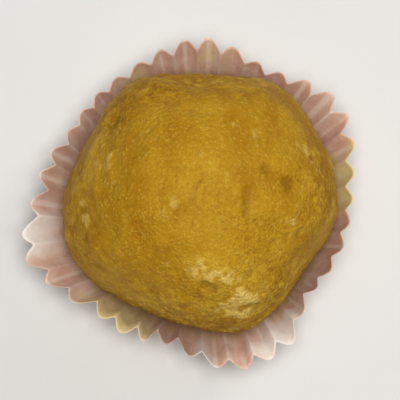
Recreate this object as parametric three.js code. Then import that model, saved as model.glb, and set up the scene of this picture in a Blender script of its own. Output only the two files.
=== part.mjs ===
// A besan ladoo in its paper case: a hand-rolled ball of roasted gram flour, ghee and sugar that sits
// in a pleated cup of thin greaseproof paper. Millimetres, +Z up. The origin is the middle of the
// case's flat base, on the surface that it stands on; +Y is the side facing away from the viewer.

import * as THREE from "three";
import { mergeVertices } from "three/addons/utils/BufferGeometryUtils.js";

// ---- Driving dimensions -------------------------------------------------------------------------

const BALL_RADIUS = 22; // close to the mean; it sets the scale of its marks
const BALL_HEIGHT = 42.6; // before it is flattened where it lies
const BALL_MIDDLE = 20.5; // from the surface it rests on up to its middle, so a little is flattened

const PAPER = 0.25; // the case's thickness
const REST_GAP = 0.05; // between the paper and the ball that lies on it
const BASE_RADIUS = 17; // the case's flat base, out to where its wall would start without a bend
const FLARE = THREE.MathUtils.degToRad(26.5); // how far its wall leans out from upright
const WALL = 21; // the wall's length, measured up its slope
const BEND = 1.6; // radius of the bend between base and wall
const PLEATS = 38;

const BALL_CELLS = 28; // grid cells along an edge of the cube that the ball is blown up from
const BEND_STEPS = 2;
const WALL_STEPS = 4;
const GOLD = 0xb98a2a;
const PINK = 0xe6c3bb;

// The ball's outline as seen from above, by azimuth in degrees. It runs evenly from one entry to the
// next, so it has a softly flattened side wherever the radius is small.
const GIRTH = [
  { azimuth: 0, radius: 22.4 },
  { azimuth: 12, radius: 22.6 },
  { azimuth: 34, radius: 22.3 },
  { azimuth: 54, radius: 22.6 },
  { azimuth: 90, radius: 20.2 },
  { azimuth: 122, radius: 22.2 },
  { azimuth: 152, radius: 20.9 },
  { azimuth: 198, radius: 22.9 },
  { azimuth: 246, radius: 20.0 },
  { azimuth: 289, radius: 22.4 },
  { azimuth: 326, radius: 20.6 },
];

// Where palms and fingers flattened the ball above and below: the flat faces `azimuth` and `height`
// degrees, and its distance from the ball's middle.
const FLATS = [
  { azimuth: 40, height: 62, distance: 22.2 },
  { azimuth: 205, height: 40, distance: 23.6 },
  { azimuth: 300, height: 34, distance: 23.6 },
  { azimuth: 20, height: -40, distance: 21.9 },
  { azimuth: 190, height: -38, distance: 22.4 },
  { azimuth: 110, height: -30, distance: 21.8 },
];
const FLAT_EDGE = 1; // how softly a flat runs into the round

// Marks that show on the upper side: strokes from one point to another, as seen from above, with the
// half-width of the stroke and its height (a pit or crease is below zero, a stuck-on flake above).
const MARKS = [
  { from: [10.5, 3.3], to: [10.5, 3.3], half: 1.5, height: -0.55 },
  { from: [13.9, 1.6], to: [14.5, 1.1], half: 1.6, height: -0.5 },
  { from: [7.4, -0.2], to: [7.3, -4.0], half: 1.0, height: -0.4 },
  { from: [0.9, -15.1], to: [1.9, -15.6], half: 1.5, height: -0.6 },
  { from: [3.3, -12.4], to: [5.3, -14.4], half: 1.9, height: 0.3 },
  { from: [6.5, -16.2], to: [8.7, -17.0], half: 1.8, height: 0.4 },
  { from: [-14.5, 6.0], to: [-14.5, 1.9], half: 1.2, height: 0.25 },
  { from: [-16.9, 3.8], to: [-17.0, 0.4], half: 1.2, height: 0.25 },
];

// Undulations left by rolling: wavelength, height, and how many waves in different directions.
const SWELLS = [
  { wavelength: 17, height: 0.16, count: 5 },
  { wavelength: 7, height: 0.12, count: 7 },
];

// Coarse crumbs that stand out and hollows where crumbs fell out, scattered over the whole ball.
const CRUMBS = { count: 90, half: [1.2, 2.3], height: [0.1, 0.26] };
const HOLLOWS = { count: 44, half: [1.0, 1.7], height: [-0.34, -0.14] };

// The case's neighbours in a full box have shaped its rim. By azimuth in degrees: how far the rim is
// pushed in (below zero) or stands out, and what share of their depth its pleats keep.
const RIM = [
  { azimuth: 0, push: -1.6, pleats: 0.45 },
  { azimuth: 33, push: 0.8, pleats: 0.95 },
  { azimuth: 64, push: -2.0, pleats: 0.6 },
  { azimuth: 90, push: -0.4, pleats: 0.9 },
  { azimuth: 124, push: -2.0, pleats: 0.5 },
  { azimuth: 150, push: -2.4, pleats: 0.5 },
  { azimuth: 172, push: -0.4, pleats: 0.9 },
  { azimuth: 197, push: 2.5, pleats: 1 },
  { azimuth: 212, push: 0.9, pleats: 0.9 },
  { azimuth: 228, push: -2.5, pleats: 0.7 },
  { azimuth: 252, push: -3.3, pleats: 0.8 },
  { azimuth: 284, push: 0.9, pleats: 0.95 },
  { azimuth: 302, push: 0.2, pleats: 0.85 },
  { azimuth: 320, push: -2.9, pleats: 0.5 },
  { azimuth: 343, push: -2.0, pleats: 0.5 },
];
const FOLD_SHARPNESS = 0.16; // how far the two corner lines of a fold close up, as a share of a column
const FOLD_STRAYS = { turn: 0.2, depth: 0.16 }; // in columns, and as a share of the pleats' depth

const RANDOM_SEED = 20613;

// ---- Small helpers ------------------------------------------------------------------------------

const radians = THREE.MathUtils.degToRad;

// A repeatable random number generator (mulberry32).
function randomSource(seed) {
  let state = seed >>> 0;
  return () => {
    state = (state + 0x6d2b79f5) >>> 0;
    let mixed = Math.imul(state ^ (state >>> 15), state | 1);
    mixed ^= mixed + Math.imul(mixed ^ (mixed >>> 7), mixed | 61);
    return ((mixed ^ (mixed >>> 14)) >>> 0) / 4294967296;
  };
}

function between([low, high], share) {
  return low + (high - low) * share;
}

// The unit vector that points to an azimuth and a height above the horizon, in degrees.
function pointing(azimuth, height) {
  const level = Math.cos(radians(height));
  return new THREE.Vector3(
    level * Math.cos(radians(azimuth)),
    level * Math.sin(radians(azimuth)),
    Math.sin(radians(height)),
  );
}

// A unit vector drawn evenly over the sphere.
function anyDirection(random) {
  const z = 2 * random() - 1;
  const turn = 2 * Math.PI * random();
  const level = Math.sqrt(1 - z * z);
  return new THREE.Vector3(level * Math.cos(turn), level * Math.sin(turn), z);
}

// One of the values of a list by azimuth, such as GIRTH, at any azimuth in radians: it goes evenly
// from one entry to the next, and from the last one on to the first.
function around(list, turn, value) {
  const azimuth = ((THREE.MathUtils.radToDeg(turn) % 360) + 360) % 360;
  const closed = [...list, { ...list[0], azimuth: 360 }];
  const next = closed.findIndex((entry) => entry.azimuth > azimuth);
  const from = closed[next - 1];
  const to = closed[next];
  const share = THREE.MathUtils.smoothstep(azimuth, from.azimuth, to.azimuth);
  return THREE.MathUtils.lerp(from[value], to[value], share);
}

// The direction from the ball's middle to the point of its upper side that is seen at (x, y).
function underPoint([x, y]) {
  const out = Math.hypot(x, y) / around(GIRTH, Math.atan2(y, x), "radius");
  const z = (BALL_HEIGHT / 2) * Math.sqrt(1 - out ** 2);
  return new THREE.Vector3(x, y, z).normalize();
}

// ---- The ball -----------------------------------------------------------------------------------

// Every mark on the surface as a stroke: its two end directions, half-width and height.
function allStrokes(random) {
  const strokes = MARKS.map(({ from, to, half, height }) => ({
    start: underPoint(from),
    end: underPoint(to),
    half,
    height,
  }));
  for (const { count, half, height } of [CRUMBS, HOLLOWS]) {
    for (let i = 0; i < count; i++) {
      const start = anyDirection(random);
      strokes.push({
        start,
        end: start,
        half: between(half, random()),
        height: between(height, random()),
      });
    }
  }
  return strokes;
}

// The rolling undulations as waves: direction, phase and height of each.
function allWaves(random) {
  const waves = [];
  for (const { wavelength, height, count } of SWELLS) {
    for (let i = 0; i < count; i++) {
      waves.push({
        run: anyDirection(random).multiplyScalar((2 * Math.PI) / wavelength),
        phase: 2 * Math.PI * random(),
        height: height / Math.sqrt(count),
      });
    }
  }
  return waves;
}

const random = randomSource(RANDOM_SEED);
const WAVES = allWaves(random);
const STROKES = allStrokes(random);
const FOLDS = allFolds(random);
const FLAT_FACES = FLATS.map((flat) => ({
  facing: pointing(flat.azimuth, flat.height),
  distance: flat.distance,
}));

// How far a point in direction `way` lies from a stroke, along the surface.
function distanceToStroke(way, { start, end }) {
  const run = end.clone().sub(start);
  const length = run.length();
  const share = length
    ? THREE.MathUtils.clamp(way.clone().sub(start).dot(run) / length ** 2, 0, 1)
    : 0;
  return start.clone().addScaledVector(run, share).distanceTo(way) * BALL_RADIUS;
}

// The ball's radius in direction `way`: elliptical from the side with the girth as its half-width,
// softly cut by the flats, plus waves and strokes.
function ballRadius(way) {
  const girth = around(GIRTH, Math.atan2(way.y, way.x), "radius");
  const round = 1 / Math.hypot(way.x / girth, way.y / girth, (2 * way.z) / BALL_HEIGHT);
  let nearness = Math.exp(-round / FLAT_EDGE);
  for (const { facing, distance } of FLAT_FACES) {
    const towards = way.dot(facing);
    if (towards > 0) nearness += Math.exp(-distance / towards / FLAT_EDGE);
  }
  let radius = -FLAT_EDGE * Math.log(nearness);
  for (const { run, phase, height } of WAVES) {
    radius += height * Math.sin(BALL_RADIUS * way.dot(run) + phase);
  }
  for (const stroke of STROKES) {
    const share = distanceToStroke(way, stroke) / stroke.half;
    if (share < 1) radius += stroke.height * (1 - share ** 2) ** 2;
  }
  return radius;
}

// The ball: a gridded cube blown up to the radius above, and flattened where it lies on the paper.
function ladooGeometry() {
  const box = new THREE.BoxGeometry(2, 2, 2, BALL_CELLS, BALL_CELLS, BALL_CELLS);
  box.deleteAttribute("normal");
  box.deleteAttribute("uv");
  const geometry = mergeVertices(box);
  const corners = geometry.getAttribute("position");
  const way = new THREE.Vector3();
  for (let i = 0; i < corners.count; i++) {
    way.fromBufferAttribute(corners, i);
    // tan evens out the cells, which would otherwise crowd at the cube's corners
    way.set(...way.toArray().map((along) => Math.tan((along * Math.PI) / 4)));
    way.normalize();
    way.multiplyScalar(ballRadius(way));
    corners.setXYZ(i, way.x, way.y, Math.max(way.z, -BALL_MIDDLE));
  }
  return geometry;
}

// ---- The paper case -----------------------------------------------------------------------------

// Every fold line of the case, crests and valleys in turn: how far it strays sideways and in depth.
function allFolds(random) {
  const folds = [];
  for (let i = 0; i < 2 * PLEATS; i++) {
    folds.push({
      turn: between([-FOLD_STRAYS.turn, FOLD_STRAYS.turn], random()),
      depth: between([1 - FOLD_STRAYS.depth, 1 + FOLD_STRAYS.depth], random()),
    });
  }
  return folds;
}

// Half the depth of the pleats at `run` up the wall. The case is pressed from a flat disc, so there a
// ring has radius BASE_RADIUS + run, and the pleats take up what is more than the wall's own round.
function pleatHalfDepth(run, wallRadius) {
  const fullness = (BASE_RADIUS + run) / wallRadius;
  const halfPitch = (Math.PI * wallRadius) / PLEATS;
  return 0.5 * halfPitch * Math.sqrt(Math.max(fullness ** 2 - 1, 0));
}

// The case's outer profile from the middle of the base to the rim: radius, height, the way to the
// inside, and how far up the wall it is, counted from where the wall would start without a bend.
function caseProfile() {
  const upright = Math.PI / 2 - FLARE;
  const bendReach = BEND * Math.tan(upright / 2);
  const profile = [{ radius: 0, z: 0, inward: 0, up: 1, run: -BASE_RADIUS }];
  for (let step = 0; step <= BEND_STEPS; step++) {
    const share = step / BEND_STEPS;
    const turned = share * upright;
    profile.push({
      radius: BASE_RADIUS - bendReach + BEND * Math.sin(turned),
      z: BEND * (1 - Math.cos(turned)),
      inward: Math.sin(turned),
      up: Math.cos(turned),
      run: between([-bendReach, bendReach], share),
    });
  }
  for (let step = 1; step <= WALL_STEPS; step++) {
    const run = between([bendReach, WALL], step / WALL_STEPS);
    profile.push({
      radius: BASE_RADIUS + run * Math.sin(FLARE),
      z: run * Math.cos(FLARE),
      inward: Math.cos(FLARE),
      up: Math.sin(FLARE),
      run,
    });
  }
  return profile;
}

// The radius at a ring of the profile in one column, on the crest side (1) or valley side (-1).
function caseRadius({ radius, inward, run, lift }, side, fold, turn) {
  if (radius === 0) return 0;
  const push = around(RIM, turn, "push") * (Math.max(run, 0) / WALL) ** 2;
  const depth = fold.depth * around(RIM, turn, "pleats") * pleatHalfDepth(run, radius + push);
  return radius + push + side * depth - lift * inward;
}

// The case: a closed turned profile, out along the under side and back along the inside, whose
// columns are then moved in and out into pleats. A fold has two columns, first a crest's and then a
// valley's.
function caseGeometry() {
  const outside = caseProfile();
  const inside = [...outside].reverse();
  const rings = [
    ...outside.map((ring) => ({ ...ring, lift: 0 })),
    ...inside.map((ring) => ({ ...ring, lift: PAPER })),
  ];
  const columns = 2 * FOLDS.length;
  const turned = new THREE.LatheGeometry(
    rings.map(({ radius, z }) => new THREE.Vector2(radius, z)),
    columns,
  );
  turned.deleteAttribute("normal");
  turned.deleteAttribute("uv");
  const corners = turned.getAttribute("position");
  for (let i = 0; i <= columns; i++) {
    const column = i % columns;
    const fold = FOLDS[Math.floor(column / 2)];
    const side = column % 4 < 2 ? 1 : -1;
    const closeUp = column % 2 ? -FOLD_SHARPNESS : FOLD_SHARPNESS;
    const turn = (2 * Math.PI * (column + closeUp + fold.turn)) / columns;
    rings.forEach((ring, row) => {
      const out = caseRadius(ring, side, fold, turn);
      const height = ring.z + ring.lift * ring.up;
      corners.setXYZ(i * rings.length + row, out * Math.cos(turn), out * Math.sin(turn), height);
    });
  }
  return mergeVertices(turned, 1e-4);
}

// ---- The object ---------------------------------------------------------------------------------

const paperCase = new THREE.Mesh(
  caseGeometry(),
  new THREE.MeshStandardMaterial({ color: PINK, roughness: 0.75, metalness: 0 }),
);
paperCase.name = "paper_case";

const ladoo = new THREE.Mesh(
  ladooGeometry(),
  new THREE.MeshStandardMaterial({ color: GOLD, roughness: 0.6, metalness: 0 }),
);
ladoo.name = "ladoo";
ladoo.position.z = PAPER + REST_GAP + BALL_MIDDLE;

const besanLadoo = new THREE.Group();
besanLadoo.add(paperCase, ladoo);

export default besanLadoo;
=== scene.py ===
# %% [markdown]
# # A besan ladoo in its paper case
#
# A besan ladoo is a ball of roasted gram flour, ghee and sugar, rolled between the palms while it is
# warm and set down in a small pleated case of greaseproof paper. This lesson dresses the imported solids
# of both: each one is replaced by a finer surface of the same form, with a procedural finish.
#
# Everything is in metres, in the frame of the solids: +Z up, the origin in the middle of the case's
# flat base, and -Y towards the viewer.

import bpy
import numpy as np
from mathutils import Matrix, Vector


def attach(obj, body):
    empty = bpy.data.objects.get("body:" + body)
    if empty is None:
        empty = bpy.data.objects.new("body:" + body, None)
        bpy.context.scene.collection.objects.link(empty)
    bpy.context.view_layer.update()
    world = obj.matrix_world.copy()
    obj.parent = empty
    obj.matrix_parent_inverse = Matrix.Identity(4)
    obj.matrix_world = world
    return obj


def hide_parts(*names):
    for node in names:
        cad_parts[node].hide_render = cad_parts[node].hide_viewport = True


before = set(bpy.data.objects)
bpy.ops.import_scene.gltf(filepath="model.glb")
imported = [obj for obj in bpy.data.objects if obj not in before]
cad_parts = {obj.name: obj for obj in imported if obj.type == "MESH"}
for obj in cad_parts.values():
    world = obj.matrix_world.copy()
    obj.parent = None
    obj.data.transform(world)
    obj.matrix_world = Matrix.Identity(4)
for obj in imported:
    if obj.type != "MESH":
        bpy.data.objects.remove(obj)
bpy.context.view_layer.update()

# %% [markdown]
# ## The sizes
#
# A finer surface has to keep the form of the solid that it stands for. The safest way is to work it
# out from the same few sizes, so they are repeated here. Lengths are in millimetres while a shape is
# being worked out, and become metres when its mesh is made.

# %% Sizes of the ball
MM = 0.001

BALL_RADIUS = 22.0  # close to the mean; it sets the scale of its marks
BALL_HEIGHT = 42.6  # before it is flattened where it lies
BALL_MIDDLE = 20.5  # from its flattened foot up to its middle
REST_GAP = 0.05  # between the solids of ball and paper

GIRTH = [  # azimuth in degrees, and the outline's radius there as seen from above
    (0, 22.4), (12, 22.6), (34, 22.3), (54, 22.6), (90, 20.2), (122, 22.2),
    (152, 20.9), (198, 22.9), (246, 20.0), (289, 22.4), (326, 20.6),
]
FLATS = [  # azimuth and height of the way a flat faces, in degrees, and its distance from the middle
    (40, 62, 22.2), (205, 40, 23.6), (300, 34, 23.6),
    (20, -40, 21.9), (190, -38, 22.4), (110, -30, 21.8),
]
FLAT_EDGE = 1.0  # how softly a flat runs into the round

MARKS = [  # strokes seen from above: from, to, half-width, height
    ((10.5, 3.3), (10.5, 3.3), 1.5, -0.55), ((13.9, 1.6), (14.5, 1.1), 1.6, -0.5),
    ((7.4, -0.2), (7.3, -4.0), 1.0, -0.4), ((0.9, -15.1), (1.9, -15.6), 1.5, -0.6),
    ((3.3, -12.4), (5.3, -14.4), 1.9, 0.3), ((6.5, -16.2), (8.7, -17.0), 1.8, 0.4),
    ((-14.5, 6.0), (-14.5, 1.9), 1.2, 0.25), ((-16.9, 3.8), (-17.0, 0.4), 1.2, 0.25),
]
SWELLS = [(17, 0.16, 5), (7, 0.12, 7)]  # wavelength, height, count
CRUMBS = (90, (1.2, 2.3), (0.1, 0.26))  # count, half-width, height
HOLLOWS = (44, (1.0, 1.7), (-0.34, -0.14))
RANDOM_SEED = 20613

print(f"ball: radius about {BALL_RADIUS:.0f} mm, {len(FLATS)} flats, {len(MARKS)} marks")

# %% Sizes of the case
PAPER_SOLID = 0.25  # thickness of the case's solid
PAPER = 0.06  # thickness of the paper that is shown
BASE_RADIUS = 17.0
FLARE = np.radians(26.5)  # how far the wall leans out from upright
WALL = 21.0  # the wall's length up its slope
BEND = 1.6  # radius of the bend between base and wall
PLEATS = 38

RIM = [  # azimuth in degrees, distance that the rim stands out, share that its pleats keep
    (0, -1.6, 0.45), (33, 0.8, 0.95), (64, -2.0, 0.6), (90, -0.4, 0.9), (124, -2.0, 0.5),
    (150, -2.4, 0.5), (172, -0.4, 0.9), (197, 2.5, 1.0), (212, 0.9, 0.9), (228, -2.5, 0.7),
    (252, -3.3, 0.8), (284, 0.9, 0.95), (302, 0.2, 0.85), (320, -2.9, 0.5), (343, -2.0, 0.5),
]
FOLD_STRAYS = (0.2, 0.16)  # sideways in half folds, and as a share of the pleats' depth

print(f"case: cut from a flat disc {2 * (BASE_RADIUS + WALL):.0f} mm across, {PLEATS} pleats")

# %% [markdown]
# ## The same chance twice
#
# The crumbs and hollows of the solid lie where a seeded generator put them. The same generator,
# asked in the same order, gives the same places here. Its state is a 32-bit whole number that each
# draw steps on and scrambles. It is asked first for the long waves that rolling left in the ball,
# then for the crumbs and hollows, and last for how far each fold of the paper strays.


# %% A repeatable random number generator
def random_source(seed):
    """Mulberry32: the state grows by a fixed odd number at each draw, and two rounds of
    shift, xor and multiply turn it into a share from 0 up to 1."""
    word = 0xFFFFFFFF
    state = seed

    def draw():
        nonlocal state
        state = (state + 0x6D2B79F5) & word
        mixed = ((state ^ (state >> 15)) * (state | 1)) & word
        mixed ^= (mixed + (((mixed ^ (mixed >> 7)) * (mixed | 61)) & word)) & word
        return ((mixed ^ (mixed >> 14)) & word) / 2**32

    return draw


def between(limits, share):
    """The value at a share of the way from the low limit to the high one."""
    return limits[0] + (limits[1] - limits[0]) * share


print(f"its first share is {random_source(RANDOM_SEED)():.4f}")


# %% Directions from the middle of the ball
def pointing(azimuth, height):
    """Unit vector to an azimuth and a height above the horizon, in degrees: the cosine of the
    height spread over x and y by the azimuth, with the sine of the height as z."""
    azimuth, height = np.radians(azimuth), np.radians(height)
    level = np.cos(height)
    return np.array([level * np.cos(azimuth), level * np.sin(azimuth), np.sin(height)])


def any_direction(draw):
    """Unit vector drawn evenly over the sphere: z even from -1 to 1, then an even turn."""
    z = 2 * draw() - 1
    turn = 2 * np.pi * draw()
    level = np.sqrt(1 - z * z)
    return np.array([level * np.cos(turn), level * np.sin(turn), z])


def around(knots, azimuth, column=1):
    """A column of a list by azimuth, such as GIRTH, at any azimuth in degrees: an eased ramp
    3t^2 - 2t^3 from one row to the next, and from the last one on to the first."""
    rows = np.array([*knots, (360, *knots[0][1:])], dtype=float)
    azimuth = np.asarray(azimuth) % 360
    before = np.searchsorted(rows[:, 0], azimuth, side="right") - 1
    share = (azimuth - rows[before, 0]) / (rows[before + 1, 0] - rows[before, 0])
    share = share * share * (3 - 2 * share)
    return rows[before, column] + share * (rows[before + 1, column] - rows[before, column])


def under_point(x, y):
    """Unit vector from the ball's middle to where its upper side is seen at (x, y): z is what
    the side view's ellipse leaves for it."""
    out = np.hypot(x, y) / around(GIRTH, np.degrees(np.arctan2(y, x)))
    way = np.array([x, y, BALL_HEIGHT / 2 * np.sqrt(1 - out**2)])
    return way / np.linalg.norm(way)


print("the first mark lies towards", under_point(*MARKS[0][0]).round(2))


# %% Every wave, stroke and fold
def all_waves(draw):
    """The undulations left by rolling, as (wave vector, phase, height)."""
    waves = []
    for wavelength, height, count in SWELLS:
        for _ in range(count):
            run = any_direction(draw) * (2 * np.pi / wavelength)
            waves.append((run, 2 * np.pi * draw(), height / np.sqrt(count)))
    return waves


def all_strokes(draw):
    """Marks, crumbs and hollows, as (start direction, end direction, half-width, height)."""
    strokes = [
        (under_point(*start), under_point(*end), half, height)
        for start, end, half, height in MARKS
    ]
    for count, half, height in (CRUMBS, HOLLOWS):
        for _ in range(count):
            way = any_direction(draw)
            strokes.append((way, way, between(half, draw()), between(height, draw())))
    return strokes


def all_folds(draw):
    """Each fold's stray sideways, in half folds, and in depth, as a factor: two arrays."""
    turn, depth = FOLD_STRAYS
    folds = []
    for _ in range(2 * PLEATS):
        sideways = between((-turn, turn), draw())
        folds.append((sideways, between((1 - depth, 1 + depth), draw())))
    return np.array(folds).T


draw = random_source(RANDOM_SEED)
WAVES = all_waves(draw)
STROKES = all_strokes(draw)
FOLD_TURN, FOLD_DEPTH = all_folds(draw)
print(f"{len(WAVES)} waves, {len(STROKES)} strokes, {len(FOLD_TURN)} folds")

# %% [markdown]
# ## Noise in numpy
#
# Sandy paste needs two kinds of unevenness. Smooth noise blends random values at the corners of a
# lattice, and gives smears, swells and patches. Cell noise scatters one point in each cell of a
# lattice, measures how far the nearest one is, and gives separate grains and pores. Both are computed
# for all vertices at once, from a size in mm and a seed. A texture node could show the same, but only
# in the shading: here the relief has to be in the mesh.


# %% Smooth noise
def lattice_share(cell, seed):
    """A fixed random share for each whole-number cell (an array of x, y, z triples): the three
    numbers are multiplied by large odd numbers, joined by xor, and scrambled twice."""
    whole = cell.astype(np.int64).astype(np.uint32)
    mixed = whole[..., 0] * np.uint32(0x8DA6B343)
    mixed ^= whole[..., 1] * np.uint32(0xD8163841)
    mixed ^= whole[..., 2] * np.uint32(0xCB1AB31F)
    mixed ^= np.uint32(seed * 0x9E3779B1 & 0xFFFFFFFF)
    for _ in range(2):
        mixed ^= mixed >> np.uint32(15)
        mixed *= np.uint32(0x2C1B3C6D)
        mixed ^= mixed >> np.uint32(13)
    return mixed / 2**32


def smooth_noise(points, size, seed):
    """Value noise from -1 to 1: a point's place within its lattice cell, eased by 3t^2 - 2t^3,
    weighs the random values of the cell's eight corners."""
    place = points / size
    cell = np.floor(place)
    share = place - cell
    share = share * share * (3 - 2 * share)
    total = np.zeros(len(points))
    for corner in np.ndindex(2, 2, 2):
        weight = np.prod(np.where(corner, share, 1 - share), axis=1)
        total += weight * lattice_share(cell + corner, seed)
    return 2 * total - 1


def layered_noise(points, size, seed, layers=3):
    """Smooth noise at a size, plus half as much at half the size, and so on."""
    total = np.zeros(len(points))
    for layer in range(layers):
        total += smooth_noise(points, size / 2**layer, seed + layer) / 2**layer
    return total / (2 - 2.0 ** (1 - layers))


some_points = np.random.default_rng(1).uniform(0, 50, (1000, 3))
sample = smooth_noise(some_points, 2.0, 7)
print(f"smooth noise runs from {sample.min():.2f} to {sample.max():.2f}")


# %% Cell noise, and an eased ramp
def cell_noise(points, size, seed):
    """For each point: the distance to the nearest scattered centre, in cell sizes, and that
    centre's own random share. The 27 cells around the point are compared in turn."""
    place = points / size
    home = np.floor(place)
    nearest = np.full(len(points), np.inf)
    share = np.zeros(len(points))
    for step in np.ndindex(3, 3, 3):
        cell = home + np.array(step) - 1
        centre = cell + np.stack([lattice_share(cell, seed + axis) for axis in range(3)], axis=1)
        distance = np.linalg.norm(centre - place, axis=1)
        closer = distance < nearest
        nearest[closer] = distance[closer]
        share[closer] = lattice_share(cell[closer], seed + 3)
    return nearest, share


def wobbled(points, size, amount, seed):
    """The points, each moved by up to amount along x, y and z by three smooth noises of a size."""
    moves = [smooth_noise(points, size, seed + axis) for axis in range(3)]
    return points + amount * np.stack(moves, axis=1)


def rise(value, start, end):
    """0 below start, 1 above end, and an eased ramp between them."""
    share = np.clip((value - start) / (end - start), 0, 1)
    return share * share * (3 - 2 * share)


sample = cell_noise(some_points, 2.0, 7)[0]
print(f"the nearest centre is {sample.mean():.2f} of a cell away, and at most {sample.max():.2f}")

# %% [markdown]
# ## The form of the ball
#
# A UV sphere's faces crowd at the poles, where grains would look combed. A gridded cube blown up to a
# sphere has nearly even faces everywhere. Each direction then gets its own radius: an ellipse from the
# side, as wide as the outline that is seen from above, softly cut by the flats that palms and fingers
# leave, with long undulations and the strokes of the solid on top.


# %% A cube blown up to a sphere
def blown_up_cube(cells):
    """Directions and quads of a cube with cells x cells faces on each side. A grid coordinate c from
    -1 to 1 is moved to tan(c * 45 degrees), which evens out the faces, and the result is made one
    long. Corners shared by two sides are merged by their whole-number places."""
    step = np.arange(cells + 1)
    across, along = np.meshgrid(step, step, indexing="ij")
    places, quads = [], []
    for axis in range(3):
        for end in (0, cells):
            place = np.empty((cells + 1, cells + 1, 3), dtype=np.int64)
            place[..., axis] = end
            place[..., (axis + 1) % 3] = across
            place[..., (axis + 2) % 3] = along
            number = np.arange((cells + 1) ** 2).reshape(cells + 1, cells + 1)
            number += len(places) * (cells + 1) ** 2
            ring = [number[:-1, :-1], number[1:, :-1], number[1:, 1:], number[:-1, 1:]]
            if end == 0:
                ring.reverse()  # so that both sides of an axis face outwards
            places.append(place.reshape(-1, 3))
            quads.append(np.stack(ring, axis=-1).reshape(-1, 4))
    corners, merged = np.unique(np.concatenate(places), axis=0, return_inverse=True)
    way = np.tan((2 * corners / cells - 1) * np.pi / 4)
    way /= np.linalg.norm(way, axis=1)[:, None]
    return way, merged.reshape(-1)[np.concatenate(quads)]


BALL_CELLS = 128  # faces along an edge of the cube
BALL_WAY, BALL_QUADS = blown_up_cube(BALL_CELLS)
print(f"ball grid: {len(BALL_WAY)} corners, {2 * len(BALL_QUADS)} triangles")


# %% The radius in every direction
def stroke_distance(way, start, end):
    """Distance in mm from each direction to a stroke: the chord to the nearest point of the
    straight line from start to end, times the ball's radius."""
    run = end - start
    length = run @ run
    share = np.clip((way - start) @ run / length, 0, 1) if length else np.zeros(len(way))
    nearest = start + share[:, None] * run
    return np.linalg.norm(nearest - way, axis=1) * BALL_RADIUS


def dome(distance, half):
    """A smooth bump: (1 - (distance / half)^2)^2 inside its half-width, and 0 outside."""
    share = np.minimum(distance / half, 1)
    return (1 - share**2) ** 2


def ball_radius(way):
    """Radius in mm: the soft least of an ellipse's radius, whose half-width is the girth, and of
    each flat's distance over the cosine towards it. That is minus the edge softness times the
    logarithm of the sum of exp(-radius / softness). Waves and strokes are added."""
    girth = around(GIRTH, np.degrees(np.arctan2(way[:, 1], way[:, 0])))
    level = np.hypot(way[:, 0], way[:, 1]) / girth
    nearness = np.exp(-1 / np.hypot(level, 2 * way[:, 2] / BALL_HEIGHT) / FLAT_EDGE)
    for azimuth, height, distance in FLATS:
        towards = np.maximum(way @ pointing(azimuth, height), 1e-3)
        nearness += np.exp(-distance / towards / FLAT_EDGE)
    radius = -FLAT_EDGE * np.log(nearness)
    for run, phase, height in WAVES:
        radius += height * np.sin(BALL_RADIUS * (way @ run) + phase)
    for start, end, half, height in STROKES:
        radius += height * dome(stroke_distance(way, start, end), half)
    return radius


radius = ball_radius(BALL_WAY)
print(f"radius runs from {radius.min():.2f} to {radius.max():.2f} mm")

# %% [markdown]
# ## The skin of the ball
#
# Close up, the paste is sandy. Where a palm slid over it the grains are smeared shut, and the skin is
# smooth, with few pale grains. Elsewhere grains stand proud, dry flakes lift and look paler, and there
# are pores and short cracks. The sides are pressed less, so small lumps of paste show there. One slow
# noise decides where the skin is smeared, and it weighs most of the other layers, so the relief isn't
# the same all over. Flakes and tones that are seen from above are placed one by one; some of these
# tones are painted light and painted shade, and the flakes along the lower edge are partly a painted
# highlight. How light the skin is, with painted shade towards the underside, how pale it is, and the
# painted shade of its hollows are kept for the finish as values on every vertex.

# %% Spots on the skin
PALE_SPOTS = [  # seen from above: from, to, half-width, strength
    # Pale, dry flakes; the strongest, along the lower edge, are partly a painted highlight.
    ((0.3, -12.6), (4.2, -13.8), 3.2, 0.7), ((6.2, -16.6), (7.9, -17.3), 3.0, 1.0),
    ((3.5, -18.3), (7.5, -18.9), 3.0, 0.8), ((4.4, -6.9), (5.3, -6.5), 1.7, 0.55),
    ((12.6, -5.0), (13.2, -4.9), 1.7, 0.5), ((15.3, -4.2), (15.3, -4.0), 1.6, 0.65),
    ((-8.2, 8.9), (-7.2, 9.0), 2.2, 0.35), ((8.6, 8.9), (8.9, 7.8), 2.0, 0.35),
    ((-5.2, -3.3), (-4.8, -2.4), 1.8, 0.3), ((-14.5, 6.2), (-14.6, 1.7), 1.8, 0.35),
    ((-16.9, 4.0), (-17.1, 0.2), 1.7, 0.35), ((-19.1, -1.9), (-18.7, -6.1), 2.0, 0.35),
    ((16.7, 7.9), (18.3, 4.4), 1.8, 0.35),
]
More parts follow.
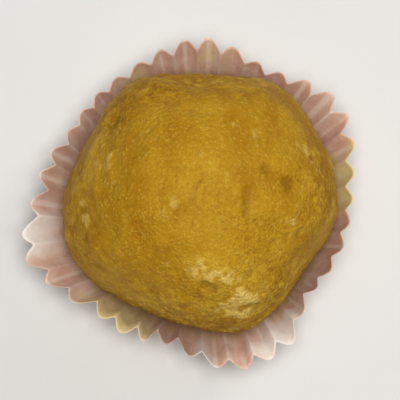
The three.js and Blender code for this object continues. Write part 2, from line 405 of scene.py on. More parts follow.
TONES_AND_PAINTED_LIGHT = [  # the same, where the skin is lighter or darker
    # Partly the paste's own tone, partly painted light: the strong lighter strokes along the lower edge
    # are a painted highlight, and the strokes near the edge, one lighter at the left and darker ones at
    # the top and right, are painted light and painted shade.
    ((1.0, 2.0), (4.0, -3.0), 6.0, 0.15), ((-3.0, 10.0), (9.0, 8.0), 6.0, -0.3),
    ((-7.5, 1.0), (-7.0, 0.0), 3.5, -0.2), ((-2.5, -3.5), (-2.0, -9.5), 3.5, -0.35),
    ((-3.0, -8.0), (7.0, -13.0), 6.0, 0.35), ((0.5, -13.0), (8.0, -17.8), 4.5, 0.8),
    ((1.0, -18.5), (9.5, -18.0), 4.0, 0.8), ((-1.8, -13.8), (-1.2, -14.0), 1.8, -0.4),
    ((11.0, -4.0), (12.0, -12.0), 5.5, 0.25), ((16.5, -8.5), (18.0, -8.0), 3.5, -0.4),
    ((-2.0, -12.0), (-5.0, -16.0), 5.0, 0.3), ((-5.0, -18.0), (-8.0, -17.0), 3.5, 0.45),
    ((-18.5, 3.0), (-16.0, 9.5), 4.0, 0.6), ((-16.5, -1.0), (-17.0, -6.0), 4.0, -0.15),
    ((-12.0, -6.5), (-8.0, -9.5), 4.5, -0.1), ((-13.5, 13.0), (-9.0, 16.0), 4.5, -0.35),
    ((-4.0, 15.5), (3.0, 16.5), 4.5, -0.4), ((6.5, 2.5), (13.5, 1.5), 3.0, -0.25),
    ((21.0, 1.0), (13.5, 16.5), 4.5, -0.6),
]
SMOOTHED = ((-7.0, 7.0), (8.0, 7.0), 13.0)  # where the palm pressed last: from, to, half-width
DRAWN_OUT = (1.0, 0.38, 0.7)  # palms drag the paste, so its mottling is long in y
# the first is the paste's own mottling, the second painted shade towards the underside
MOTTLE, UNDERSIDE_SHADE = 0.42, 0.45  # how much each changes the tone

print(f"{len(PALE_SPOTS)} pale spots, {len(TONES_AND_PAINTED_LIGHT)} lighter or darker ones")


# %% Where the skin is smeared, light or pale

def seen_from_above(start, end, half):
    """A dome over every direction that is near the stroke from start to end, given as (x, y)."""
    return dome(stroke_distance(BALL_WAY, under_point(*start), under_point(*end)), half)


BALL_POINTS = BALL_WAY * radius[:, None]


def skin_noise(size, seed):
    """Layered noise at every point of the ball."""
    return layered_noise(BALL_POINTS, size, seed)


smear = rise(skin_noise(11.0, 11) + 0.15, -0.35, 0.35)
smear = np.clip(smear + 0.8 * seen_from_above(*SMOOTHED), 0, 1)
mottle = layered_noise(BALL_POINTS * DRAWN_OUT, 2.4, 101) + 0.5 * smooth_noise(BALL_POINTS, 13.0, 111)
shaded_below = rise(-BALL_POINTS[:, 2], -5.0, 9.0)  # painted shade: darker towards the underside
# light holds the paste's own mottled tone, with painted light and painted shade added
light = 0.5 + MOTTLE * mottle - UNDERSIDE_SHADE * shaded_below
for start, end, half, strength in TONES_AND_PAINTED_LIGHT:
    light += strength * seen_from_above(start, end, half)
light = np.clip(light, 0, 1)

spots = np.zeros(len(BALL_WAY))
for start, end, half, strength in PALE_SPOTS:
    spots = np.maximum(spots, strength * seen_from_above(start, end, half))
ragged = skin_noise(1.3, 21)
scuffs = rise(skin_noise(5.5, 31) - 0.3 * smear, 0.22, 0.55)
pale = spots**0.6 * rise(0.6 * spots + ragged, 0.12, 0.5)
pale = np.clip(pale + 0.4 * scuffs * rise(ragged, 0.05, 0.35), 0, 1)

print(f"smeared: {smear.mean():.0%} of the skin, pale: {(pale > 0.3).mean():.1%}")

# %% Grains and clods
GRAIN = 0.8  # mm from grain to grain
CLODS = [(1.2, 131), (2.0, 141)]  # the same and a seed, for the lumps that show on the sides

open_skin = 1 - 0.6 * smear
flank = rise(-BALL_WAY[:, 2], -0.78, -0.45)  # palms smooth the top more than the sides
crumbly = flank * rise(skin_noise(6.0, 121), -0.6, 0.1)

distance, share = cell_noise(wobbled(BALL_POINTS, 1.1, 0.35, 44), GRAIN, 41)
grains = (1 - rise(distance, 0.05, 0.8)) * (0.2 + 0.8 * share)
gaps = rise(distance, 0.45, 0.85)

clods, clod_gaps, clod_tone = (np.zeros(len(BALL_WAY)) for _ in range(3))
for size, seed in CLODS:
    distance, share = cell_noise(wobbled(BALL_POINTS, 0.8 * size, 0.5 * size, seed + 4), size, seed)
    clods += (1 - rise(distance, 0.1, 0.75)) * (0.2 + 0.8 * share)
    clod_gaps = np.maximum(clod_gaps, rise(distance, 0.45, 0.9))
    clod_tone += share - 0.5
light = np.clip(light + crumbly * (0.55 * clod_tone + 0.4 * ragged), 0, 1)

print(f"crumbly: {crumbly.mean():.0%} of the skin, tone now {light.min():.2f} to {light.max():.2f}")

# %% Pores and cracks
PORE = 2.0  # mm from pore to pore, before most are left out
CRACK_SPACING = 5.0

distance, share = cell_noise(wobbled(BALL_POINTS, 0.8, 0.3, 64), PORE, 61)
pitted = rise(skin_noise(7.0, 67), -0.35, 0.25)
pores = rise(share, 0.6, 0.7) * dome(distance, 0.13 + 0.13 * share) * pitted

wander = skin_noise(CRACK_SPACING, 71)
torn = rise(skin_noise(7.0, 81), 0.2, 0.45) * rise(ragged, -0.1, 0.2)
cracks = (1 - rise(np.abs(wander), 0.0, 0.04)) * torn

print(f"pores: {(pores > 0.3).mean():.1%} of the skin, cracks: {(cracks > 0.3).mean():.1%}")

# %% The relief, and what is hollow
GRAIN_HEIGHT, CLOD_HEIGHT, FLAKE_HEIGHT, LUMP_HEIGHT = 0.22, 0.17, 0.16, 0.1  # mm
PORE_DEPTH, CRACK_DEPTH = 0.26, 0.18

relief = GRAIN_HEIGHT * open_skin * grains
relief += CLOD_HEIGHT * crumbly * clods
relief += FLAKE_HEIGHT * pale * rise(ragged, 0.0, 0.2)
relief += LUMP_HEIGHT * open_skin * skin_noise(1.6, 91)
relief -= PORE_DEPTH * pores * (0.4 + 0.6 * open_skin)
relief -= CRACK_DEPTH * cracks

dents = np.zeros(len(BALL_WAY))
for start, end, half, height in STROKES[: len(MARKS)]:
    if height < 0:
        dents = np.maximum(dents, dome(stroke_distance(BALL_WAY, start, end), 1.2 * half))
dents *= rise(0.5 * ragged + dents, 0.0, 0.6)
# painted shade: pores, cracks, dents and the gaps between grains and clods are darkened in the finish
hollow_shade = pores + 0.8 * cracks + 0.7 * dents
hollow_shade += 0.45 * open_skin * gaps + 0.6 * crumbly * clod_gaps * (0.6 - ragged)
hollow_shade = np.clip(hollow_shade, 0, 1)

print(f"relief runs from {relief.min():.2f} to {relief.max():.2f} mm")

# %% [markdown]
# ## Arrays into meshes
#
# `foreach_set` hands a whole array to Blender at once. A mesh needs its corners, the corner numbers of
# its faces one after the other, and where each face starts. Values for the finish go in as attributes
# on the vertices.


# %% A helper that makes a piece
def make_piece(name, points, face_blocks, values):
    """Mesh object with the points (in mm), the faces of all blocks (arrays of 3 or 4 corner numbers
    a row), smooth shading, and one float attribute for each named value."""
    mesh = bpy.data.meshes.new(name)
    mesh.vertices.add(len(points))
    mesh.vertices.foreach_set("co", (points * MM).astype(np.float32).ravel())
    sizes = np.concatenate([np.full(len(block), block.shape[1]) for block in face_blocks])
    corners = np.concatenate([block.ravel() for block in face_blocks])
    mesh.loops.add(len(corners))
    mesh.loops.foreach_set("vertex_index", corners.astype(np.int32))
    mesh.polygons.add(len(sizes))
    starts = np.concatenate([[0], np.cumsum(sizes)[:-1]])
    mesh.polygons.foreach_set("loop_start", starts.astype(np.int32))
    mesh.update(calc_edges=True)
    mesh.shade_smooth()
    for value_name, value in values.items():
        attribute = mesh.attributes.new(value_name, "FLOAT", "POINT")
        attribute.data.foreach_set("value", value.astype(np.float32))
    piece = bpy.data.objects.new(name, mesh)
    bpy.context.scene.collection.objects.link(piece)
    faults = mesh.validate()
    low, high = points.min(axis=0), points.max(axis=0)
    print(f"{name}: {len(points)} points, {(sizes - 2).sum()} triangles, faults: {faults},")
    print(f"    from {low.round(2)} to {high.round(2)} mm")
    return piece


# %% Make the ball
ball_points = BALL_WAY * (radius + relief)[:, None]
foot = -BALL_MIDDLE - (PAPER_SOLID + REST_GAP - PAPER)  # down to the paper that is shown
ball_points[:, 2] = np.maximum(ball_points[:, 2], foot)
ball_points[:, 2] += PAPER_SOLID + REST_GAP + BALL_MIDDLE

ball_values = {"smear": smear, "light": light, "pale": pale, "hollow_shade": hollow_shade}
ladoo = make_piece("ladoo_skin", ball_points, [BALL_QUADS], ball_values)
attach(ladoo, "root")
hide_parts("ladoo")

# %% [markdown]
# ## The paper case
#
# The case is pressed from a flat disc of paper. A ring of the disc is longer than the cup's wall is
# round, and the pleats take up the difference, so they start from nothing at the base and are deepest
# at the rim. That one rule gives their depth everywhere. Cloth simulation could crumple a disc into a
# cup, but a pressed pleat is regular, and the rule gives it at once. A few degrees of stray from fold
# to fold, folds that lean, and a rim pushed about by its neighbours make it look handled.


# %% The profile of the case
FLAT_ROWS, BEND_ROWS, WALL_ROWS = 7, 6, 26  # of the mesh


def case_profile():
    """Rows of (radius, height, inward, up, run): along the flat base, round the bend by equal
    turns, then straight up the wall. Inward and up are the surface's normal, and run is the
    distance up the wall from where it would start without a bend."""
    upright = np.pi / 2 - FLARE
    reach = BEND * np.tan(upright / 2)
    rows = []
    for share in np.linspace(0, 1, FLAT_ROWS + 2)[1:-1]:
        radius = (BASE_RADIUS - reach) * share
        rows.append((radius, 0, 0, 1, radius - BASE_RADIUS))
    for share in np.linspace(0, 1, BEND_ROWS):
        turned = share * upright
        radius = BASE_RADIUS - reach + BEND * np.sin(turned)
        height = BEND * (1 - np.cos(turned))
        rows.append((radius, height, np.sin(turned), np.cos(turned), between((-reach, reach), share)))
    for run in np.linspace(reach, WALL, WALL_ROWS + 1)[1:]:
        radius = BASE_RADIUS + run * np.sin(FLARE)
        rows.append((radius, run * np.cos(FLARE), np.cos(FLARE), np.sin(FLARE), run))
    return np.array(rows)


PROFILE = case_profile()
print(f"{len(PROFILE)} rows from the base to a rim {PROFILE[-1, 1]:.1f} mm high")


# %% The pleats
def pleat_half_depth(run, wall_radius):
    """Half of half a pitch times sqrt(fullness^2 - 1), where fullness is how much longer the
    disc's ring is than the wall is round."""
    fullness = (BASE_RADIUS + run) / wall_radius
    return 0.5 * np.pi * wall_radius / PLEATS * np.sqrt(np.maximum(fullness**2 - 1, 0))


CREASE = 0.7  # 0 gives valleys as round as the crests, 1 sharp lines


def pleat_wave(place):
    """Signed depth from valley (-1) to crest (1) at places counted in folds. The even folds are
    crests. From a crest to a valley the value falls as a quarter of a cosine wave, round at the
    crest and sharp in the valley, mixed with an eased ramp that is round at both ends."""
    fold = np.arange(-1, 2 * PLEATS + 2)
    at = fold + 0.25 + FOLD_TURN[fold % (2 * PLEATS)] / 2
    height = np.where(fold % 2, -1, 1) * FOLD_DEPTH[fold % (2 * PLEATS)]
    before = np.clip(np.searchsorted(at, place, side="right") - 1, 0, len(fold) - 2)
    share = (place - at[before]) / (at[before + 1] - at[before])
    falling = fold[before] % 2 == 0
    down = np.where(falling, share, 1 - share)
    down = CREASE * (1 - np.cos(down * np.pi / 2)) + (1 - CREASE) * down * down * (3 - 2 * down)
    share = np.where(falling, down, 1 - down)
    return height[before] + (height[before + 1] - height[before]) * share


PLEAT_STEPS = 18  # columns of the mesh to a pleat
CASE_COLUMNS = PLEATS * PLEAT_STEPS
fold_place = np.arange(CASE_COLUMNS) * 2 * PLEATS / CASE_COLUMNS
COLUMN_AZIMUTH = 360 * fold_place / (2 * PLEATS)
wave = pleat_wave(fold_place)
print(f"{CASE_COLUMNS} columns, pleat wave from {wave.min():.2f} to {wave.max():.2f}")

# %% [markdown]
# Each row of the profile becomes a ring. The wave moves it in and out by the depth that the rule
# gives. On top comes what pressing and handling add: fine ribs up the wall, pleats that lean more the
# higher they are, a rim that is turned outwards in places and isn't quite level, and faint crinkles.
# The paper's two faces are the same surface, once as it is and once moved inwards by the thickness,
# joined at the rim.

# %% Sizes of what handling adds
DEPTH_STRAY = 0.12  # share that the pleats are deeper or shallower by
LEAN = 0.35  # how far a pleat may lean at the rim, in folds
LIP = 1.0  # mm that the rim may turn outwards
LIP_LENGTH = 4.0  # mm of the wall that turn with it
LIP_DROP = 0.6  # how far it comes down for each mm outwards
SPLAYED = [  # azimuth and half-width in degrees, share of the lip
    (198, 20, 0.8), (240, 24, 1.0), (294, 24, 1.0),
    (35, 25, 0.4), (82, 20, 0.3), (150, 14, 0.3),
]
RIM_UNEVEN = 0.35  # mm
CRINKLE = 0.1  # mm
RIB = 0.09  # mm, of the fine creases up the wall
RIB_SPACING, RIB_LENGTH = 0.75, 6.0  # mm

print(f"{len(SPLAYED)} stretches of the rim are turned outwards, by up to {LIP} mm")

# %% Noise on the paper
RING_RADIUS = 1.5 * BASE_RADIUS  # of the ring round which noise is read
RING_SHIFT = 40  # mm that it is off the noise's origin


def ring_noise(size, seed):
    """Smooth noise round the case, in one row of a value a column."""
    turn = 2 * np.pi * np.arange(CASE_COLUMNS) / CASE_COLUMNS
    ring = np.stack([np.cos(turn), np.sin(turn), np.zeros(CASE_COLUMNS)], axis=1)
    return smooth_noise(ring * RING_RADIUS + RING_SHIFT, size, seed)[None, :]


def drawn_noise(seed):
    """Smooth noise on the paper from -1 to 1, rows x columns, as wide as the ribs are spaced round
    the case and as long as they are up the wall: the height is counted in shorter steps."""
    turn = np.radians(COLUMN_AZIMUTH)
    place = np.empty((len(PROFILE), CASE_COLUMNS, 3))
    place[..., 0] = (BASE_RADIUS + WALL / 2) * np.cos(turn)
    place[..., 1] = (BASE_RADIUS + WALL / 2) * np.sin(turn)
    place[..., 2] = PROFILE[:, 4:] * RIB_SPACING / RIB_LENGTH
    return layered_noise(place.reshape(-1, 3), RIB_SPACING, seed, layers=2).reshape(place.shape[:2])


def spread(spots):
    """The strongest of the spots at each column: a spot fades out as a dome over its half-width."""
    strongest = np.zeros(CASE_COLUMNS)
    for at, half, strength in spots:
        off = np.abs((COLUMN_AZIMUTH - at + 540) % 360 - 180) / half
        strongest = np.maximum(strongest, strength * dome(off, 1.0))
    return strongest[None, :]


RIBS = drawn_noise(15)
print(f"ribs: {RIBS.shape[0]} rows x {RIBS.shape[1]} columns, {RIBS.min():.2f} to {RIBS.max():.2f}")


# %% The paper's surface
def paper_surface(lift):
    """Points of one face, rows x columns x 3, moved inwards by lift: the ring's radius plus the
    push, the wave times the pleats' half depth, and the ribs, at an azimuth that leans with the
    height. The lip's square ramp is added outwards and partly taken off the height, and a noise
    times the climb moves the wall inwards and outwards as crinkles."""
    radius, height, inward, up, run = (column[:, None] for column in PROFILE.T)
    climb = np.clip(run / WALL, 0, 1)
    azimuth = COLUMN_AZIMUTH[None, :]
    wall_radius = radius + around(RIM, azimuth) * climb**2
    pleat = wave[None, :] * around(RIM, azimuth, 2) * pleat_half_depth(run, wall_radius)
    pleat *= 1 + DEPTH_STRAY * ring_noise(14, 3) * climb
    pleat += RIB * climb * RIBS
    out = wall_radius + pleat - lift * inward
    lean = LEAN * climb**1.5 * ring_noise(9, 5)
    turn = np.radians(azimuth) + lean * np.pi / PLEATS
    rim = RIM_UNEVEN * climb**3 * ring_noise(5, 9)
    tip = np.clip(1 - (WALL - run) / LIP_LENGTH, 0, 1) ** 2 * spread(SPLAYED)
    out += LIP * tip
    rim -= LIP_DROP * LIP * tip
    points = np.stack([out * np.cos(turn), out * np.sin(turn), height + lift * up + rim], axis=-1)
    crinkle = CRINKLE * climb * layered_noise(points.reshape(-1, 3), 3.2, 13).reshape(out.shape)
    points[..., 0] -= crinkle * np.cos(turn)
    points[..., 1] -= crinkle * np.sin(turn)
    return points


outer, inner = paper_surface(0), paper_surface(PAPER)
rim_radius = np.hypot(*outer[-1, :, :2].T)
print(f"rim: {rim_radius.min():.1f} to {rim_radius.max():.1f} mm")


# %% Join the two faces into a closed sheet
def closed_sheet(outer, inner):
    """Corners and faces of a thin cup: the outer rings from the base to the rim, the inner rings
    back down, and a fan of triangles round a middle point at either end."""
    rings = np.concatenate([outer, inner[::-1]])
    rows, columns = rings.shape[:2]
    points = np.concatenate([rings.reshape(-1, 3), [[0, 0, 0], [0, 0, PAPER]]])
    number = np.arange(rows * columns).reshape(rows, columns)
    ahead = np.roll(number, -1, axis=1)
    quads = np.stack([number[:-1], ahead[:-1], ahead[1:], number[1:]], axis=-1).reshape(-1, 4)
    under, above = rows * columns, rows * columns + 1
    bottom = np.stack([np.full(columns, under), ahead[0], number[0]], axis=-1)
    top = np.stack([np.full(columns, above), number[-1], ahead[-1]], axis=-1)
    return points, [quads, np.concatenate([bottom, top])]


case_points, case_faces = closed_sheet(outer, inner)
print(f"sheet: {len(case_points)} corners")

# %% [markdown]
# Three things about the paper follow its form rather than its place, so they are worked out here, as
# values on every vertex: its ribs, whose hollows get painted shade in a deeper pink and whose ridges a
# painted highlight; how worn its face is, where a fold has cracked it and it looks paler, together with
# a painted highlight on stretches towards the rim; and where ghee has wetted it, yellower in patches up
# the wall, and soaked through and brown near the ball's foot, where the brown is partly painted shade
# in the crease beside the ball.

# %% Wear and grease on the paper
# painted highlight on stretches of the wall towards the rim
HIGHLIGHT_SPOTS = [  # azimuth and half-width in degrees, strength
    (192, 16, 1.0), (302, 19, 1.0), (156, 9, 0.4), (271, 9, 0.9),
]
GREASE_SPOTS = [
    (234, 26, 1.0), (8, 22, 1.0), (82, 20, 0.6),
    (118, 12, 0.5), (168, 12, 0.4), (268, 9, 0.35),
]
HIGHLIGHT_FROM, SOAKED_AND_SHADED_TO = (8.0, 19.0), (8.0, 15.5)  # mm up the wall: sets in, fades out

fold = rise(np.abs(wave), 0.9, 1.05)[None, :] * np.clip(PROFILE[:, 4:] / 3, 0, 1)
ribbed = 0.5 + 0.5 * RIBS

patchy = layered_noise(outer.reshape(-1, 3), 5.0, 17).reshape(outer.shape[:2])
# ghee soaked in near the ball's foot, and painted shade in the crease beside the ball
near_ball = 1 - rise(PROFILE[:, 4:] + 2.5 * patchy, *SOAKED_AND_SHADED_TO)
grease = rise(spread(GREASE_SPOTS) + 0.5 * patchy, 0.3, 0.85)
# painted highlight, stronger towards the rim
highlit = spread(HIGHLIGHT_SPOTS) * rise(PROFILE[:, 4:], *HIGHLIGHT_FROM)
# cracked folds, and the painted highlight over them
worn_and_highlit = np.clip(0.45 * fold + rise(highlit + 0.5 * patchy, 0.25, 0.9), 0, 1)

in_middle = {"ribbed": (ribbed, 0.5), "worn_and_highlit": (worn_and_highlit, 0), "grease": (grease, 0), "soaked_and_shaded": (near_ball, 1)}
case_values = {
    name: np.concatenate([value.ravel(), value[::-1].ravel(), [middle, middle]])
    for name, (value, middle) in in_middle.items()
}
paper_case = make_piece("paper_case_sheet", case_points, case_faces, case_values)
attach(paper_case, "root")
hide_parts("paper_case")

# %% [markdown]
# ## Finishes from small groups
#
# The sweet and the paper both need specks, and the paper and the floor soft patches, each at its own
# size. A shader node group is built once for each effect and placed in each material with its own
# values. The sweet's packed grains are a group too, which keeps its material short. The groups put out
# masks and heights only: the Principled shader stays in the material, where an exporter can read it.


# %% Helpers for node trees
def new_group(name, inputs, outputs):
    """An empty shader group with float or vector inputs, given as name: default, and float
    outputs. Gives back the group, its input node and its output node."""
    group = bpy.data.node_groups.new(name, "ShaderNodeTree")
    for socket_name, default in inputs.items():
        kind = "NodeSocketVector" if default is None else "NodeSocketFloat"
        socket = group.interface.new_socket(socket_name, in_out="INPUT", socket_type=kind)
        if default is not None:
            socket.default_value = default
    for socket_name in outputs:
        group.interface.new_socket(socket_name, in_out="OUTPUT", socket_type="NodeSocketFloat")
    return group, group.nodes.new("NodeGroupInput"), group.nodes.new("NodeGroupOutput")


def fill(tree, node, inputs):
    """Gives each named or numbered input of a node a value, or a link from another node."""
    for socket, value in inputs.items():
        if isinstance(value, bpy.types.NodeSocket):
            tree.links.new(value, node.inputs[socket])
        else:
            node.inputs[socket].default_value = value


def add(tree, kind, inputs=None, **settings):
    """A node of a kind in the tree, with its settings, and inputs that are values or links."""
    node = tree.nodes.new(kind)
    for setting, value in settings.items():
        setattr(node, setting, value)
    fill(tree, node, inputs or {})
    return node


# %% Nodes that calculate and blend
def calculate(tree, operation, *values, clamp=False):
    """The result socket of a Math node."""
    node = add(tree, "ShaderNodeMath", dict(enumerate(values)), operation=operation)
    node.use_clamp = clamp
    return node.outputs[0]


def times(tree, value, factor):
    """The product of two values or sockets."""
    return calculate(tree, "MULTIPLY", value, factor)


def ramp(tree, value, start, end):
    """An eased ramp from 0 at start to 1 at end, as a Map Range node's result."""
    limits = {"Value": value, "From Min": start, "From Max": end}
    node = add(tree, "ShaderNodeMapRange", limits, interpolation_type="SMOOTHSTEP")
    return node.outputs["Result"]


def blend(tree, share, first, second):
    """The colour that a share takes from the first towards the second."""
    inputs = {0: share, 6: first, 7: second}
    return add(tree, "ShaderNodeMix", inputs, data_type="RGBA").outputs[2]


# %% Group: soft patches
def make_patches():
    """Noise at a size in mm, turned by an eased ramp round a level into a mask of patches."""
    inputs = {"Place": None, "Size": 3.0, "Level": 0.5, "Softness": 0.1, "Detail": 3.0}
    group, given, result = new_group("soft_patches", inputs, ["Mask", "Height"])
    scale = calculate(group, "DIVIDE", 1.0, given.outputs["Size"])
    inputs = {"Vector": given.outputs["Place"], "Scale": scale, "Detail": given.outputs["Detail"]}
    noise = add(group, "ShaderNodeTexNoise", inputs)
    start = calculate(group, "SUBTRACT", given.outputs["Level"], given.outputs["Softness"])
    end = calculate(group, "ADD", given.outputs["Level"], given.outputs["Softness"])
    mask = ramp(group, noise.outputs["Fac"], start, end)
    fill(group, result, {"Mask": mask, "Height": noise.outputs["Fac"]})
    return group


PATCHES = make_patches()
print("made", PATCHES.name)


# %% Group: scattered specks
def shaken_cells(group, given, fineness, amount):
    """Cells at the group's Size, whose places a noise, finer than them by a factor, has moved by up
    to about an amount of the Size. Gives back the distance to the middle of a cell, in cells, and
    two random shares for each cell."""
    scale = calculate(group, "DIVIDE", 1.0, given.outputs["Size"])
    finer = times(group, scale, fineness)
    inputs = {"Vector": given.outputs["Place"], "Scale": finer, "Detail": 2.0}
    noise = add(group, "ShaderNodeTexNoise", inputs)
    reach = times(group, given.outputs["Size"], amount)
    inputs = {0: noise.outputs["Color"], "Scale": reach}
    move = add(group, "ShaderNodeVectorMath", inputs, operation="SCALE")
    inputs = {0: given.outputs["Place"], 1: move.outputs[0]}
    moved = add(group, "ShaderNodeVectorMath", inputs, operation="ADD").outputs[0]
    cells = add(group, "ShaderNodeTexVoronoi", {"Vector": moved, "Scale": scale})
    split = add(group, "ShaderNodeSeparateColor", {"Color": cells.outputs["Color"]})
    return cells.outputs["Distance"], split.outputs["Red"], split.outputs["Green"]


def make_specks():
    """Cells at a size in mm: the share of them that Amount gives has a speck in its middle, which
    fades out at the given radius, in cells. Noise moves the places first, so no speck is round."""
    inputs = {"Place": None, "Size": 0.8, "Amount": 0.2, "Radius": 0.4}
    group, given, result = new_group("scattered_specks", inputs, ["Mask"])
    distance, pick, weight = shaken_cells(group, given, 1.7, 1.0)
    chosen = calculate(group, "LESS_THAN", pick, given.outputs["Amount"])
    inside = calculate(group, "DIVIDE", distance, given.outputs["Radius"])
    fade = calculate(group, "SUBTRACT", 1.0, ramp(group, inside, 0.3, 1.0))
    strength = calculate(group, "MULTIPLY_ADD", weight, 0.75, 0.25)
    mask = times(group, times(group, chosen, fade), strength)
    fill(group, result, {"Mask": mask})
    return group


SPECKS = make_specks()
print("made", SPECKS.name)


# %% Group: packed grains
def make_sand():
    """Grains packed side by side at a size in mm: a height that is 1 in the middle of a grain and
    falls off towards its neighbours, and a random tone for each grain. Noise moves the places
    first, so that the grains are squeezed here and drawn out there."""
    group, given, result = new_group("packed_grains", {"Place": None, "Size": 0.5}, ["Height", "Tone"])
    distance, tone, _ = shaken_cells(group, given, 0.7, 1.2)
    height = calculate(group, "SUBTRACT", 1.0, ramp(group, distance, 0.0, 0.9))
    fill(group, result, {"Height": height, "Tone": tone})
    return group


SAND = make_sand()
print("made", SAND.name)


# %% Colours, and the start of a material
def colour(red, green, blue):
    """A screen colour from 0 to 255 as the linear light that Blender's sockets hold: a share s is
    ((s + 0.055) / 1.055)^2.4, or s / 12.92 where it is very dark."""
    share = np.array([red, green, blue]) / 255
    linear = np.where(share <= 0.04045, share / 12.92, ((share + 0.055) / 1.055) ** 2.4)
    return (*linear, 1.0)


def start_material(name):
    """An empty material with its Principled shader linked up, and Object coordinates in mm."""
    material = bpy.data.materials.new(name)
    material.use_nodes = True
    tree = material.node_tree
    tree.nodes.clear()
    shader = tree.nodes.new("ShaderNodeBsdfPrincipled")
    add(tree, "ShaderNodeOutputMaterial", {"Surface": shader.outputs["BSDF"]})
    metres = tree.nodes.new("ShaderNodeTexCoord").outputs["Object"]
    place = add(tree, "ShaderNodeVectorMath", {0: metres, "Scale": 1 / MM}, operation="SCALE")
    return material, tree, shader, place.outputs[0]


def vertex_value(tree, name):
    """The socket of a float attribute kept on the vertices."""
    return add(tree, "ShaderNodeAttribute", attribute_name=name).outputs["Fac"]


def place_group(tree, group, **values):
    """The group as a node in a material's tree, with its inputs set or linked by name."""
    return add(tree, "ShaderNodeGroup", values, node_tree=group)


print(f"a grey of 128 holds {colour(128, 128, 128)[0]:.0%} of white's light")

# %% [markdown]
# ## The finish of the ladoo
#
# Roasted gram flour in ghee is golden, neither orange nor green. Mottling drawn out by the palms makes
# it a little browner or lighter, and painted light and painted shade do the same in places. Single
# grains of flour and sugar are paler, a few over-roasted ones are dark, and dry flakes are paler still,
# partly as a painted highlight. Painted shade lies between the imported grains and in the pores. A very
# little light goes in and comes out again beside where it entered, which softens the grains. The sheen
# is satin and weak.

# %% Ladoo material
GOLD = colour(187, 141, 28)
GOLD_BROWN = colour(169, 119, 15)
GOLD_LIGHT = colour(203, 159, 45)
# the pale of dry flakes, also a painted highlight along the lower edge
FLAKE_AND_HIGHLIGHT = colour(240, 206, 112)
PALE_GRAIN = colour(212, 175, 68)
ROASTED = colour(126, 82, 14)
PORE_SHADE = colour(118, 74, 8)


def ladoo_material():
    """One layer over the other: mottled gold with painted light and shade, single grains, dry flakes
    (partly a painted highlight), then painted shade in the gaps.
    """
    material, tree, shader, place = start_material("ladoo_paste")
    smear, light, pale, hollow_shade = (
        vertex_value(tree, name) for name in ("smear", "light", "pale", "hollow_shade")
    )

    # the light value carries the paste's mottling together with painted light and painted shade
    tone = blend(tree, ramp(tree, light, 0.1, 0.6), GOLD_BROWN, GOLD)
    tone = blend(tree, ramp(tree, light, 0.55, 1.0), tone, GOLD_LIGHT)

    sand = place_group(tree, SAND, Place=place, Size=0.5)
    for end, amount, shade in ((1.0, 0.45, GOLD_LIGHT), (0.0, 0.4, GOLD_BROWN)):
        strayed = times(tree, ramp(tree, sand.outputs["Tone"], 0.5, end), amount)
        tone = blend(tree, strayed, tone, shade)
    dry = calculate(tree, "MULTIPLY_ADD", smear, -0.3, 0.65)
    for size, amount in ((0.55, 0.14), (0.95, 0.1)):
        grains = place_group(tree, SPECKS, Place=place, Size=size, Amount=amount, Radius=0.55)
        tone = blend(tree, times(tree, grains.outputs["Mask"], dry), tone, PALE_GRAIN)
    roasted = place_group(tree, SPECKS, Place=place, Size=0.8, Amount=0.1, Radius=0.4)
    tone = blend(tree, times(tree, roasted.outputs["Mask"], 0.45), tone, ROASTED)

    grainy = calculate(tree, "MULTIPLY_ADD", sand.outputs["Tone"], 0.4, 0.65)
    # dry flakes, along the lower edge partly a painted highlight
    flaky_and_highlit = calculate(tree, "MULTIPLY", pale, grainy, clamp=True)
    tone = blend(tree, flaky_and_highlit, tone, FLAKE_AND_HIGHLIGHT)
    # painted shade between the grains and in the hollows
    shut = calculate(tree, "MULTIPLY_ADD", smear, -0.25, 0.4)
    shade_between_grains = times(tree, ramp(tree, sand.outputs["Height"], 0.3, 0.0), shut)
    tone = blend(tree, shade_between_grains, tone, PORE_SHADE)
    tone = blend(tree, times(tree, hollow_shade, 0.55), tone, PORE_SHADE)

    rough = calculate(tree, "MULTIPLY_ADD", smear, -0.12, 0.68)
    rough = calculate(tree, "MULTIPLY_ADD", pale, 0.14, rough, clamp=True)
    packed = times(tree, sand.outputs["Height"], sand.outputs["Tone"])
    bump = add(tree, "ShaderNodeBump", {"Height": packed, "Strength": 0.9, "Distance": 0.2 * MM})
    fill(tree, shader, {
        "Base Color": tone,
        "Roughness": rough,
        "Normal": bump.outputs["Normal"],
        "Specular IOR Level": 0.08,
        "Subsurface Weight": 0.05,
        "Subsurface Radius": (1.0, 0.6, 0.25),
        "Subsurface Scale": 0.5 * MM,
    })
    return material


ladoo.data.materials.append(ladoo_material())
print("ladoo:", ladoo.data.materials[0].name)

# %% [markdown]
# ## The finish of the paper
#
# Greaseproof paper is dense, thin and waxy. Light goes through it, so a pleat's shaded side glows.
# The pink fades where a fold has cracked its face, and paler stretches towards the rim are a painted
# highlight. Soaked-in ghee darkens it and turns it yellow, and makes it smoother; the brown near the
# ball's foot is partly painted shade. Subsurface scattering in a thin closed sheet gives the glow.

# %% Paper material
PINK = colour(230, 192, 175)
# a deeper pink for cloudy patches, also painted shade in the rib hollows
DEEP_PINK_AND_SHADE = colour(212, 165, 146)
# pale, cracked paper, also a painted highlight on rib ridges and near the rim
CREASED_AND_HIGHLIGHT = colour(254, 242, 230)
GREASED = colour(248, 224, 162)
# brown of soaked paper, also painted shade in the crease by the ball
SOAKED_AND_SHADE = colour(198, 160, 108)


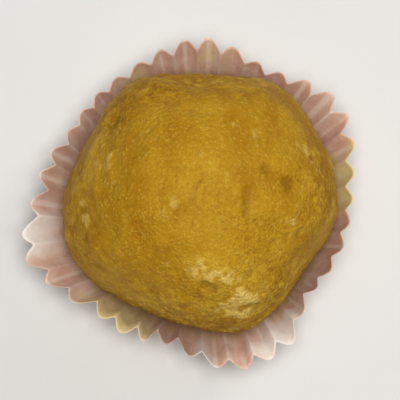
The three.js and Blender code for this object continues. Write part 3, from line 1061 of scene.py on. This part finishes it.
def paper_material():
    """Cloudy pink, with ribs in painted shade and highlight, fibres, wear with a painted highlight
    and grease with painted shade by the foot, blended over it one after the other.
    """
    material, tree, shader, place = start_material("greaseproof_paper")
    ribbed, worn_and_highlit, grease, soaked_and_shaded = (
        vertex_value(tree, name) for name in ("ribbed", "worn_and_highlit", "grease", "soaked_and_shaded")
    )

    cloudy = place_group(tree, PATCHES, Place=place, Size=4.0, Level=0.5, Softness=0.2)
    tone = blend(tree, cloudy.outputs["Mask"], PINK, DEEP_PINK_AND_SHADE)
    fibres = place_group(tree, SPECKS, Place=place, Size=0.7, Amount=0.3, Radius=0.5)
    # the rib hollows get painted shade and the rib ridges a painted highlight; the worn value also holds
    # a painted highlight, and the soaked one painted shade by the foot
    for mask, amount, shade in (
        (ramp(tree, ribbed, 0.5, 0.1), 0.6, DEEP_PINK_AND_SHADE),
        (ramp(tree, ribbed, 0.5, 0.9), 0.3, CREASED_AND_HIGHLIGHT),
        (fibres.outputs["Mask"], 0.3, CREASED_AND_HIGHLIGHT),
        (worn_and_highlit, 0.85, CREASED_AND_HIGHLIGHT),
        (grease, 0.85, GREASED),
        (soaked_and_shaded, 0.65, SOAKED_AND_SHADE),
    ):
        tone = blend(tree, times(tree, mask, amount), tone, shade)

    rough = calculate(tree, "MULTIPLY_ADD", grease, -0.15, 0.48)
    crinkle = place_group(tree, PATCHES, Place=place, Size=0.9, Level=0.5, Softness=0.2, Detail=4.0)
    relief = {"Height": crinkle.outputs["Height"], "Strength": 0.6, "Distance": 0.2 * MM}
    bump = add(tree, "ShaderNodeBump", relief)
    fill(tree, shader, {
        "Base Color": tone,
        "Roughness": rough,
        "Normal": bump.outputs["Normal"],
        "Specular IOR Level": 0.5,
        "Subsurface Weight": 0.35,
        "Subsurface Radius": (1.0, 0.85, 0.75),
        "Subsurface Scale": 0.3 * MM,
    })
    return material


paper_case.data.materials.append(paper_material())
print("paper:", paper_case.data.materials[0].name)

# %% [markdown]
# ## Floor, light and camera
#
# A plain pale floor lets the shadows read. One lamp beside the camera's axis lights the top and leaves
# the sides darker, as a ceiling lamp would. A weak lamp on the far right grazes the grains, so that
# they show, and dim, slightly warm surroundings fill the shade. The long lens looks almost straight
# down.


# %% Floor
def make_floor():
    """A large square under the object, in a pale matt finish with a faint unevenness."""
    half = 1.5
    mesh = bpy.data.meshes.new("floor")
    corners = [(-half, -half, 0), (half, -half, 0), (half, half, 0), (-half, half, 0)]
    mesh.from_pydata(corners, [], [(0, 1, 2, 3)])
    floor = bpy.data.objects.new("floor", mesh)
    bpy.context.scene.collection.objects.link(floor)
    material, tree, shader, place = start_material("pale_floor")
    cloudy = place_group(tree, PATCHES, Place=place, Size=60.0, Level=0.5, Softness=0.3)
    tone = blend(tree, cloudy.outputs["Mask"], colour(229, 228, 225), colour(224, 223, 220))
    fill(tree, shader, {"Base Color": tone, "Roughness": 0.7})
    mesh.materials.append(material)
    return floor


print("stage:", make_floor().name)


# %% Lamps and surroundings
def make_lamp(name, place, target, side, power):
    """A square area lamp at a place, turned to a target."""
    data = bpy.data.lights.new(name, "AREA")
    data.size = side
    data.energy = power
    lamp = bpy.data.objects.new(name, data)
    lamp.location = place
    lamp.rotation_euler = (Vector(target) - Vector(place)).to_track_quat("-Z", "Y").to_euler()
    bpy.context.scene.collection.objects.link(lamp)
    return lamp


BALL_CENTRE = (0, 0, 0.021)
make_lamp("key", (0.02, -0.045, 0.85), BALL_CENTRE, side=0.22, power=5.2)
make_lamp("side", (0.40, 0.38, 0.55), BALL_CENTRE, side=0.18, power=0.9)

world = bpy.data.worlds.new("soft_surroundings")
world.use_nodes = True
sky = world.node_tree.nodes["Background"]
fill(world.node_tree, sky, {"Color": (1.0, 0.975, 0.94, 1.0), "Strength": 0.21})
bpy.context.scene.world = world
bpy.context.scene.view_settings.view_transform = "Standard"

# %% Camera
CAMERA_HEIGHT = 85  # degrees above the horizon
CAMERA_DISTANCE = 0.62
FRAME_WIDTH = 0.066  # what the square picture takes in at the ladoo

camera_data = bpy.data.cameras.new("camera")
camera_data.lens = camera_data.sensor_width * CAMERA_DISTANCE / FRAME_WIDTH
camera_data.clip_start, camera_data.clip_end = 0.01, 10
camera = bpy.data.objects.new("camera", camera_data)
bpy.context.scene.collection.objects.link(camera)
towards = pointing(-90, CAMERA_HEIGHT)
camera.location = Vector(BALL_CENTRE) + Vector(towards) * CAMERA_DISTANCE
camera.rotation_euler = (-Vector(towards)).to_track_quat("-Z", "Y").to_euler()
bpy.context.scene.camera = camera
print(f"lens {camera_data.lens:.0f} mm, camera at {[round(x, 3) for x in camera.location]}")
